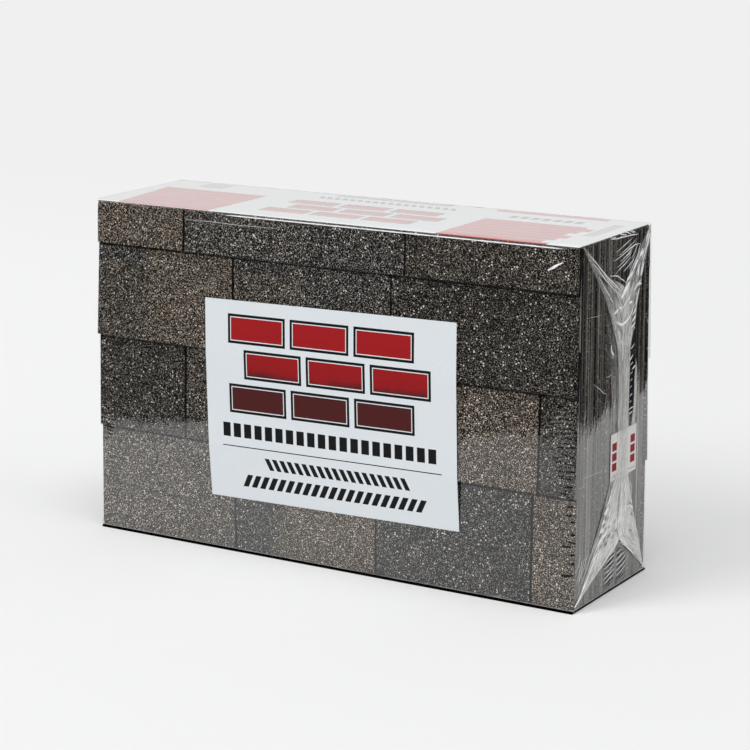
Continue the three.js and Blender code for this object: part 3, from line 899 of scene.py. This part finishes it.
# Short folds that lie side by side along the pocket, drawn white as painted highlights.
POCKET_CREASES = [
    (0.9, 113, 239, 121, 243.4), (0.8, 113, 223.6, 121, 227.4), (1.4, 110, 212.4, 118, 217.4),
    (0.8, 112.8, 208, 118, 210.6), (1.3, 117, 203.4, 124, 206.4), (0.7, 113, 199.6, 118, 201.4),
    (0.6, 113, 193, 117.4, 194.6), (0.6, 112.8, 186.6, 116.8, 188), (0.8, 113, 178.6, 118, 180.4),
    (0.6, 113, 172.8, 116.6, 174), (1.0, 111.6, 166.2, 120.6, 167.4), (0.9, 112, 161.6, 119.6, 163),
]
# Sharp white glints on the upper gather, where its folds turn to the light, and a few on the lower one.
GLINTS = [
    (2.8, 76, 263, 83.5, 266.4), (1.8, 86, 266.5, 92, 267.2), (4.4, 90, 275.5, 98, 281, 107, 287.6),
    (2.6, 101, 290.5, 113.5, 295), (3.0, 114.5, 298.5, 121, 304, 125, 304.8), (3.2, 124.4, 290.5, 127, 300.5),
    (3.0, 137, 301.5, 133.5, 295, 130.6, 289.5), (2.8, 128.5, 308.6, 136, 312.4),
    (2.8, 139, 311, 144, 318, 148, 327), (2.0, 107.5, 267.6, 114, 268.6),
    (1.8, 117, 278, 124.6, 282.8, 133, 281.8), (2.0, 113.5, 249, 122, 253.5), (1.8, 115, 255.5, 122, 261),
    (1.8, 113, 243.5, 121, 247.5), (2.2, 63, 76.5, 71, 82), (2.0, 59, 68.5, 65, 71.6),
    (2.4, 50, 50.4, 58, 55, 69, 58), (1.8, 55, 62, 62, 64.5), (2.2, 119, 71.5, 125, 67.8),
    (3.0, 19.5, 15, 30, 22.5), (2.6, 5, 3.6, 13, 8, 19.5, 12.5), (1.8, 71, 86, 77, 91),
    (1.6, 105, 88, 109, 96),
]
# Dark gaps between the folds of the gather, where the shingle edges show: painted shade, drawn in near-black
# film.
GATHER_GAPS = [
    (2.6, 118.5, 292, 121.5, 300, 127, 308), (2.6, 128, 291, 130, 299, 133, 305),
    (2.4, 119, 275.5, 126, 279.4, 132, 279), (2.0, 122, 262, 119.5, 268, 121, 273.5),
    (1.8, 115.5, 257.6, 121, 263.4), (1.8, 114, 252, 121, 256.6), (1.6, 113.5, 246, 121, 250.2),
    (2.0, 105, 294, 112, 298.6, 118, 304), (1.8, 99, 290, 104, 294.6, 108, 299.6),
    (2.2, 131, 312, 137, 318, 142, 324), (1.6, 137, 313.4, 143, 321), (2.0, 116, 286, 119.5, 291),
    (1.8, 110.5, 282, 113.5, 289), (1.6, 44, 303, 55, 297, 64, 292), (1.4, 50, 298, 62, 291),
    (2.6, 64, 71, 68, 74.8), (2.4, 60, 64.6, 65, 67.6), (2.2, 64, 61, 69, 63), (2.0, 70, 69, 73, 72.6),
    (2.2, 53, 57, 59, 60.6), (2.2, 62, 51, 67, 53.6), (2.2, 66, 45.6, 70.6, 48), (2.0, 79, 49.6, 84, 52),
    (1.8, 86, 53.6, 90.6, 56), (1.8, 72, 52, 78, 55), (2.0, 117, 74.6, 122, 72), (1.6, 121, 64.6, 124.5, 60),
    (1.6, 118, 48, 124, 45), (1.8, 72.5, 80, 76, 83.6), (1.6, 73, 61, 76.6, 63), (1.6, 54, 46, 60, 49),
    (1.5, 47, 44, 52, 47), (1.5, 84, 63, 88, 66),
]
TIGHT_CREASES = [
    (0.2, 19.5, 269.5, 30.5, 268.5, 42, 267.5, 50, 267.5),
    (0.4, 35.5, 205.5, 46, 200.5, 56, 194, 62.5, 191.5), (1.0, 65.5, 334, 79, 332.5, 93.5, 332, 115, 331),
    (0.9, 82, 336.5, 90.5, 334.5, 99.5, 332.5), (0.9, 90.5, 337, 100.5, 335, 108, 332),
    (0.8, 98.5, 337, 106.5, 335.5, 115, 332), (0.7, 106.5, 337, 112, 334.5, 118, 332.5),
    (0.6, 61.5, 337, 69.5, 334.5, 77, 334), (0.8, 73, 312.5, 89, 315, 108, 319.5, 118, 321, 127.5, 320.5),
    (0.6, 79, 305.5, 93.5, 309, 111, 315), (0.6, 83, 303, 98.5, 307.4, 108, 311),
    (0.7, 87, 310, 99.5, 313.5, 111, 316.5), (0.7, 93.5, 300, 103.5, 303, 114, 308),
    (0.7, 106.5, 300.5, 112, 305, 118, 312), (0.8, 90, 6, 90.5, 18, 90.5, 32, 91, 40.5),
    (0.4, 61.5, 207.5, 67.5, 206.5, 73.5, 208), (0.7, 94.5, 332, 110, 331, 124, 330),
    (0.6, 78, 320, 94, 324, 112, 328.5), (0.6, 84, 316, 100, 320, 119, 325.5),
    (0.5, 76, 300, 88, 304, 101, 307), (0.6, 94, 312, 106, 316.5, 120, 323),
    (0.8, 110, 309, 118, 315, 123, 322), (0.9, 118, 306, 124, 312, 129, 321), (0.9, 66, 8, 75, 11, 86, 13),
    (0.8, 64, 13, 74, 15, 87, 18), (0.9, 66, 18, 76, 19, 86, 22), (0.8, 66, 23, 77, 25, 87, 27),
    (0.9, 70, 28, 79, 30, 87, 32), (0.8, 76, 33, 87, 36), (0.9, 91, 9, 100, 11, 112, 14),
    (0.8, 91, 14.5, 101, 16, 113, 20), (0.9, 91, 20, 100, 21, 111, 25), (0.8, 91, 25.5, 99, 27, 108, 29),
    (0.8, 91, 31, 97, 32.5, 103, 33), (0.8, 8, 24, 13, 32, 19, 45), (0.8, 12, 24, 18, 34, 25, 47),
    (0.7, 7, 36, 12, 44, 15, 51), (0.8, 17, 28, 24, 38, 30, 47), (0.25, 20, 122, 36, 121, 58, 120),
    (0.3, 8, 116, 16, 114, 22, 116),
]
# Dark slits between the folds under the arch, and beside the upright edges of the front: painted shade in
# near-black film.
DARK_FOLDS = [
    (1.3, 65, 5, 76, 8, 86, 10), (1.2, 66, 10, 76, 12.5, 85, 14.5), (1.3, 63, 14.5, 74, 16.5, 86, 19.5),
    (1.1, 67, 20, 77, 22, 86, 24), (1.4, 68, 25, 77, 27, 86, 29.5), (1.2, 73, 30.5, 80, 32.5, 86, 34),
    (1.3, 91, 6, 98, 7.5, 105, 9.5), (1.2, 91, 11.5, 101, 13, 112, 16), (1.2, 91, 17, 99, 18, 110, 21.5),
    (1.2, 91, 22.5, 98, 23.5, 108, 26), (1.3, 91, 28, 98, 29.5, 104, 31), (1.2, 91, 33, 95, 34.5, 100, 35),
    (1.6, 84, 36, 85.5, 39), (1.6, 91, 36.5, 92, 39),
]
EDGE_SLITS = [
    (2.1, 519, 61, 523, 60.5, 528, 61.5), (2.0, 524, 66, 529, 65, 533, 65), (2.5, 528, 72.5, 532, 73),
    (2.2, 527, 53, 532, 54), (2.1, 529, 45.5, 532.5, 46), (2.7, 519, 33, 524, 33, 531, 35),
    (1.7, 527, 84, 532, 84.5), (1.6, 522, 90, 530, 91), (1.4, 523, 98, 531, 99), (1.4, 525, 105, 532, 105.5),
    (1.3, 518, 110.5, 526, 111), (1.6, 521, 117, 531, 118), (1.4, 518, 125, 530, 125),
    (1.4, 523, 131, 532, 132), (1.4, 520, 139, 531, 138.5), (1.3, 517, 147, 529, 146),
    (1.4, 522, 154, 532, 155), (1.3, 520, 163, 530, 161.5), (1.3, 523, 171, 531, 171),
    (1.3, 519, 180, 528, 179), (1.3, 2, 98, 9, 96.5), (1.3, -2, 103, 5, 101, 10, 99.5),
    (1.2, 3, 107.5, 9, 107),
]
# Folds on the front, drawn white as painted highlights.
FACE_CREASES = [
    (2.2, 502, 313.5, 508, 317, 516.5, 322), (1.5, 186.5, 318.3, 188, 316.8, 190.2, 314.6),
    (0.3, 106, 326.3, 140, 326, 176, 325.5, 214, 326.2),
]
RIBBON_STEP, RIBBON_STEPS_LEAST = 1.2, 6
RIDGE = 0.45                        # the height of a fold, for its half width
# How far folds lie off an end, over a gather and over the tight film, and how much further at the neck and in
# the pocket.
FOLDS_OUT, CREASES_OUT, NECK_OUT, POCKET_OUT = 0.5, 0.2, 1.9, 1.0
TOP_FOLD_DROP, TOP_FOLD_COLUMNS = 2.9, 188


def ribbon(line, width, place, seed):
    """A fold as a low ridge, in rows of three points with their strands. place turns (across, up, out) into
    (x, y, z)."""
    count = max(RIBBON_STEPS_LEAST, int(np.hypot(*np.diff(line.T, axis=1)).sum() / RIBBON_STEP))
    places = [(len(line) - 1) * step / count for step in range(count + 1)]
    middles = [[through(axis, place_along) for axis in line.T] for place_along in places]
    for step, (across, up) in enumerate(middles):
        after, before = middles[min(count, step + 1)], middles[max(0, step - 1)]
        run = math.dist(after, before)
        normal = (-(after[1] - before[1]) / run, (after[0] - before[0]) / run)
        half = width / 2 * math.sin(math.pi * (0.04 + 0.92 * step / count)) ** 0.6
        half *= 1 + 0.35 * rough(step / 3, seed, 40)
        sway = 0.4 * rough(step / 5, seed, 41) * min(1.0, width)
        for offset, out in ((-1, 0.0), (0, RIDGE * half), (1, 0.0)):
            move = offset * half + sway
            point = place(across + normal[0] * move, up + normal[1] * move, out)
            yield point, (offset * half, step * RIBBON_STEP)


def joined_folds(name, folds, place, material, flip=False, density=1.0):
    """Many folds as one piece."""
    points, faces, strands = [], [], []
    for seed, (width, *line) in enumerate(folds):
        start = len(points)
        for point, strand in ribbon(np.array(line, dtype=float).reshape(-1, 2), width, place, seed):
            points.append(point)
            strands.append((*strand, density))
        for row in range(start, len(points) - 3, 3):
            for first in (row, row + 1):
                quad = (first, first + 1, first + 4, first + 3)
                faces.append(quad[::-1] if flip else quad)
    add_piece(name, points, faces, material, strands)


def top_edge_fold(material):
    """The low fold that runs along the top of the front."""
    left, right = -118, 256
    rows, strands = [], []
    for x in np.linspace(left, right, TOP_FOLD_COLUMNS):
        half = 0.60 * between(x, left, -90, 245, right) * (1 + 0.3 * rough(x / 12, 0, 90))
        row = []
        for share in (-1, 0, 1):
            z = TOP_Z - TOP_FOLD_DROP + half * share
            y = CENTRE_Y - FILM_HALF_DEPTH + face_recess(z, FRONT) - 0.12 * (1 - share * share)
            row.append((x, y, z))
            strands.append((share, x, 1.0))
        rows.append(row)
    add_surface("film_fold_face", rows, material, strands=strands)


def over_gather(end):
    """Where folds lie over the gather of an end."""
    def place(across, up, out):
        return end_place(end, across, up, FOLDS_OUT + NECK_OUT * gather_lift(up) + out)
    return place


def over_tight_film(across, up, out):
    """Where folds lie over the right end, further out in its pocket."""
    in_pocket = between(across, 106, 112, 124, 130) * between(up, 145, 150, 240, 250)
    return end_place(RIGHT, across, up, CREASES_OUT + POCKET_OUT * in_pocket + out)


def gathers(milky, highlight_film, dark):
    """The gather at each end, and what only the photographed end and the front show."""
    for end, end_name in ENDS:
        seed = GATHER_SEEDS[end_name]
        gathered_sheet(f"film_gather_{end_name}_front", FRONT_SHEET, end, 0.9, seed, milky)
        gathered_sheet(f"film_gather_{end_name}_back", BACK_SHEET, end, 1.2, seed + 4, milky)
        gathered_sheet(f"film_gather_{end_name}_web", WEB_SHEET, end, 0.25, seed + 16, milky, 0.4)
        # The white folds of a gather are painted highlights.
        folds = GATHER_CREASES + (GLINTS if end == RIGHT else [])
        joined_folds(f"film_folds_{end_name}", folds, over_gather(end), highlight_film, flip=end == LEFT)
    # The gaps and the pocket are near-black film: painted shade.
    joined_folds("film_gaps_right", GATHER_GAPS, over_gather(RIGHT), dark, density=0.62)
    gathered_sheet("film_gather_right_pocket", POCKET_SHEET, RIGHT, 0.2, 58, dark, 0.3)
    gathered_sheet("film_gather_right_band", BAND_SHEET, RIGHT, 0.8, 62, milky, 0.3)
    gathered_sheet("film_gather_right_flap", FLAP_SHEET, RIGHT, 0.2, 64, milky, 0.3)
    # The creases and the fold along the top are white painted highlights, and the slits near-black painted
    # shade.
    joined_folds("film_creases_right", TIGHT_CREASES + POCKET_CREASES, over_tight_film, highlight_film)
    joined_folds("film_slits_right", DARK_FOLDS, over_tight_film, dark)
    joined_folds("film_creases_face", FACE_CREASES, front_place, highlight_film)
    joined_folds("film_slits_face", EDGE_SLITS, front_place, dark)
    top_edge_fold(highlight_film)


# ---------------------------------------------------------------- film materials

FILM_IOR = 1.5
# The white of painted highlights on folds.
FOLD_HIGHLIGHT_WHITE = (0.97, 0.98, 0.98)
MILK = (0.94, 0.945, 0.90)
CALM_TINT = grey(0.86)
# Near-black film, put where there is only shade: painted shade.
DARK_FILM = (0.015, 0.015, 0.017)
DULLED = 0.04                       # how much less dark film mirrors
# The foot of the tight film is a painted black shadow of the gap under the bundle, with a pale hem above it.
HEM_AND_FOOT_SHADOW = [(0.0, grey(0.002)), (1.0, (0.75, 0.75, 0.74))]
FOOT_SHADOW_TOP, HEM_TOP = (0.0021, 0.0024), (0.0034, 0.0029)
# How much less the tight film mirrors towards the right of the front, on the ends and along the top edge.
LOSS_RIGHT, LOSS_ENDS, LOSS_TOP_EDGE = 0.33, 0.10, 0.93


def mirrored_share(shader, normal):
    """What the film mirrors: three surfaces' worth, and only on its outer side."""
    fresnel = shader.value("Fresnel", {"IOR": FILM_IOR, "Normal": normal})
    outside = 1.0 - shader.value("NewGeometry", output="Backfacing")
    return (fresnel * 3.0 / (fresnel * 2.0 + 1.0) * outside).clamped()


def mirroring(shader, share, body, roughness, normal):
    """A body under a film that mirrors this share of the light."""
    gloss = shader.value("BsdfGlossy", {"Roughness": roughness, "Normal": normal})
    return shader.blend(share, body, gloss)


def sleeve_material():
    """The tight film: clear, with a faint ripple in what it mirrors, and a pale hem over a painted black
    shadow at its foot. It mirrors less towards the right of the front and on the ends, and hardly anything
    along the top front edge."""
    shader = new_shader("clear_film")
    place = shader.place()
    x, y, z = place.parts()
    ripple = place.stretched((70, 70, 34)).noise(1.0).bump(0.0006, 0.35)
    normal = place.stretched((260, 260, 120)).noise(1.0).bump(0.00008, 0.5, ripple)
    on_end = abs(x).span(0.2665, 0.2675)
    on_right = y.span(-0.066, -0.070) * x.span(-0.10, 0.22) * (1.0 - on_end)
    top_edge = z.span(0.3374, 0.3384) * y.span(-0.0749, -0.0756)
    up = on_end * -0.0002 + z
    share = mirrored_share(shader, normal) * up.span(0.0020, 0.0024)
    for dulled, loss in ((on_right, LOSS_RIGHT), (on_end, LOSS_ENDS), (top_edge, LOSS_TOP_EDGE)):
        share = share * (1.0 - dulled * loss)
    film = mirroring(shader, share, shader.value("BsdfTransparent"), 0.05, normal)
    hem_and_shadow = shader.value("BsdfDiffuse", {"Color": up.span(*FOOT_SHADOW_TOP).ramp(HEM_AND_FOOT_SHADOW)})
    patchy = place.noise(60, 2).span(0.3, 0.6, 0.12, 0.42)
    hem_and_shadow_share = up.span(*HEM_TOP) * z.span(0.00004, 0.0001) * up.span(*FOOT_SHADOW_TOP, 1.0, patchy)
    return shader.surface(shader.blend(hem_and_shadow_share, film, hem_and_shadow))


def fold_highlight_lines(lined, pattern, width):
    """Thin broken lines along the folds of crumpled film, for its painted highlights: straight from one fold
    to the next.
    """
    spread = lined.stretched(pattern)
    wander = lined.shader.value("TexNoise", {"Vector": lined, "Scale": 0.12}, "Color")
    bent = lined.shader.value("VectorMath", {0: spread, 1: wander}, operation="ADD")
    field = lined.shader.value("TexVoronoi", {"Vector": bent}, "Distance", feature="DISTANCE_TO_EDGE")
    return field.span(width, width * 0.3) * spread.noise(0.8, 1).span(0.44, 0.56)


def crumpled_film(name, colour, milk_low, milk_high, sheen=0.0, gathered=False, lit=True):
    """Crumpled film: milky along its strands, with a sharp gloss. Lit film has painted highlights along its
    fold lines and shines in every direction by its sheen. Gathered film is uneven, and calmer along its neck."""
    shader = new_shader(name)
    place = shader.place()
    strand = shader.value("Attribute", output="Vector", attribute_name="strand")
    across, along, density = strand.parts()
    lined = shader.value("CombineXYZ", {"X": across, "Y": along})
    threads = lined.stretched((0.85, 0.045, 1)).noise(1.0, 3)
    clouds = place.noise(190, 3)
    milk = density * threads.span(0.36, 0.66, milk_low, milk_high) * clouds.span(0.3, 0.7, 0.85, 1.12)
    milk = milk.clamped()
    normal = (threads + clouds * 0.4).bump(0.0007, 0.5)
    share = mirrored_share(shader, normal)
    if lit:
        up = place.parts()[2]
        calm = up.between(0.070, 0.108, 0.195, 0.240)
        strong = (1.0 - calm * 0.85) * up.span(0.015, 0.055, 0.35, 1.0)
        # Painted highlights along the fold lines: the film there is milkier, and gathered film turns white.
        bright = fold_highlight_lines(lined, (0.16, 0.075, 1), 0.050) * strong
    else:
        share = share * DULLED
    if gathered:
        shades = lined.stretched((0.30, 0.05, 1)).noise(1.0, 3, 0.6)
        colour = shades.span(0.38, 0.62, calm.span(0, 1, 0.56, 0.92), 1.0).times(colour)
        colour = colour.mix(calm, colour.times(CALM_TINT)).mix(bright, FOLD_HIGHLIGHT_WHITE)
        milk = milk * (calm * -0.27 + 1.0)
    body = shader.value("BsdfDiffuse", {"Color": colour, "Normal": normal})
    if lit:
        milk = (bright * 0.5 + milk).clamped()
        body = mirroring(shader, bright * 0.3 + sheen, body, 0.65, normal)
    body = shader.blend(milk, shader.value("BsdfTransparent"), body)
    return shader.surface(mirroring(shader, share, body, 0.09, normal))


def finish_film():
    clear = sleeve_material()
    sleeve(clear)
    end_panels(clear)
    # The creased film is white for painted highlights, and the shaded film near black for painted shade.
    gathers(crumpled_film("gathered_film", MILK, 0.66, 1.06, gathered=True),
            crumpled_film("fold_highlight_film", FOLD_HIGHLIGHT_WHITE, 0.8, 1.2, sheen=0.02),
            crumpled_film("shaded_film", DARK_FILM, 0.92, 1.0, lit=False))


# ---------------------------------------------------------------- studio

CAMERA_AT = (1.16489, -1.88754, 0.70011)
CAMERA_TURN = math.radians(31.373)
CAMERA_DOWN = math.radians(13.298)
CAMERA_ROLL = math.radians(0.175)
LENS_MM, SENSOR_MM = 111.90, 36
FAR_AWAY = 50
BACKDROP = grey(0.87)
SKY_LIGHT, SKY_STRENGTH = (0.97, 0.98, 1.0), 0.4
FLOOR_HALF = 8.0
# A painted shade: the floor darkens from the first tone to the second towards the right and the back.
FLOOR_SHADE_TONES = [(0.0, (0.885, 0.885, 0.88)), (1.0, (0.825, 0.825, 0.82))]
# Black cards stand round the table at these places, and the film mirrors the pale table only up to them.
CARDS = [
    (0.60, 0.82), (0.55, 0.48), (0.58, 0.24), (0.79, -0.05), (0.74, -0.42), (0.49, -0.72), (0.17, -0.88),
    (-0.17, -0.86), (-0.43, -0.71), (-0.60, -0.50), (-0.78, -0.27), (-0.83, 0.05), (-0.76, 0.46),
    (-0.55, 0.79), (-0.17, 0.98), (0.27, 1.02),
]
CARD_HEIGHT = 0.36
# The soft suns: bearing from the front, clockwise from above, height and spread, in degrees, and strength.
SUNS = {"overhead": (-31, 75, 40, 1.40), "key": (35, 37, 30, 0.98), "side": (-95, 22, 45, 0.36)}


def add_camera():
    data = bpy.data.cameras.new("camera")
    data.lens, data.sensor_width, data.clip_end = LENS_MM, SENSOR_MM, FAR_AWAY
    camera = add_object("camera", data)
    camera.location = CAMERA_AT
    camera.rotation_euler = (math.pi / 2 - CAMERA_DOWN, CAMERA_ROLL, CAMERA_TURN)
    bpy.context.scene.camera = camera


def add_soft_sun(name, turn, height, spread, strength):
    """A wide, even light that the film doesn't mirror."""
    data = bpy.data.lights.new(name, "SUN")
    data.angle = math.radians(spread)
    data.energy = strength
    lamp = add_object(name, data)
    lamp.visible_glossy = False
    turn, height = math.radians(turn), math.radians(height)
    level = math.cos(height)
    towards = Vector((-math.sin(turn) * level, -math.cos(turn) * level, math.sin(height)))
    lamp.rotation_euler = towards.to_track_quat("Z", "Y").to_euler()


def add_world():
    """The backdrop, as it is seen and mirrored, and a dimmer light from all round."""
    world = bpy.data.worlds.new("studio")
    bpy.context.scene.world = world
    shader = Shader(world, "OutputWorld")
    rays = shader.node("LightPath").outputs
    seen, *others = (Value(shader, rays[f"Is {kind} Ray"]) for kind in ("Camera", "Glossy", "Transmission"))
    for other in others:
        seen = seen.most(other)
    light = shader.value("Background", {"Color": SKY_LIGHT, "Strength": SKY_STRENGTH})
    shader.surface(shader.blend(seen, light, shader.value("Background", {"Color": BACKDROP})))


def floor_material():
    """A pale floor that takes the shadow near the object, with a painted shade that darkens it towards the
    right and the back, and turns into the backdrop further out.
    """
    shader = new_shader("floor")
    place = shader.place()
    distance = shader.value("VectorMath", {0: place}, "Value", operation="LENGTH")
    x, y, _ = place.parts()
    painted_floor_shade = (x * 0.6 + y * 0.8).span(-1.0, 1.2).ramp(FLOOR_SHADE_TONES)
    seen = shader.value("LightPath", output="Is Camera Ray")
    near = shader.value("BsdfDiffuse", {"Color": painted_floor_shade})
    away = shader.value("Emission", {"Color": BACKDROP})
    return shader.surface(shader.blend(distance.span(1.3, 3.2) * seen, near, away))


def add_floor():
    corners = [(-1, -1), (1, -1), (1, 1), (-1, 1)]
    vertices = [(FLOOR_HALF * x, FLOOR_HALF * y, 0) for x, y in corners]
    floor = add_mesh("floor", vertices, [(0, 1, 2, 3)], floor_material())


def add_cards():
    """Only the film's gloss sees the cards: they cast no shadow and take no light from the object."""
    vertices = [(x, y, z) for x, y in CARDS for z in (0.0, CARD_HEIGHT)]
    faces = []
    for low in range(0, len(vertices), 2):
        after = (low + 2) % len(vertices)
        faces.append((low, after, after + 1, low + 1))
    shader = new_shader("black_card")
    black = shader.surface(shader.value("BsdfDiffuse", {"Color": grey(0.02)}))
    cards = add_mesh("black_cards", vertices, faces, black)
    for kind in ("camera", "diffuse", "shadow", "transmission"):
        setattr(cards, f"visible_{kind}", False)


bpy.context.scene.view_settings.view_transform = "Standard"
finish_shingles()
assign("front_label", front_label_material())
assign("end_label", end_label_material())
assign("top_sheet", top_sheet_material())
finish_film()
add_camera()
add_world()
add_floor()
add_cards()
for sun, settings in SUNS.items():
    add_soft_sun(sun, *settings)
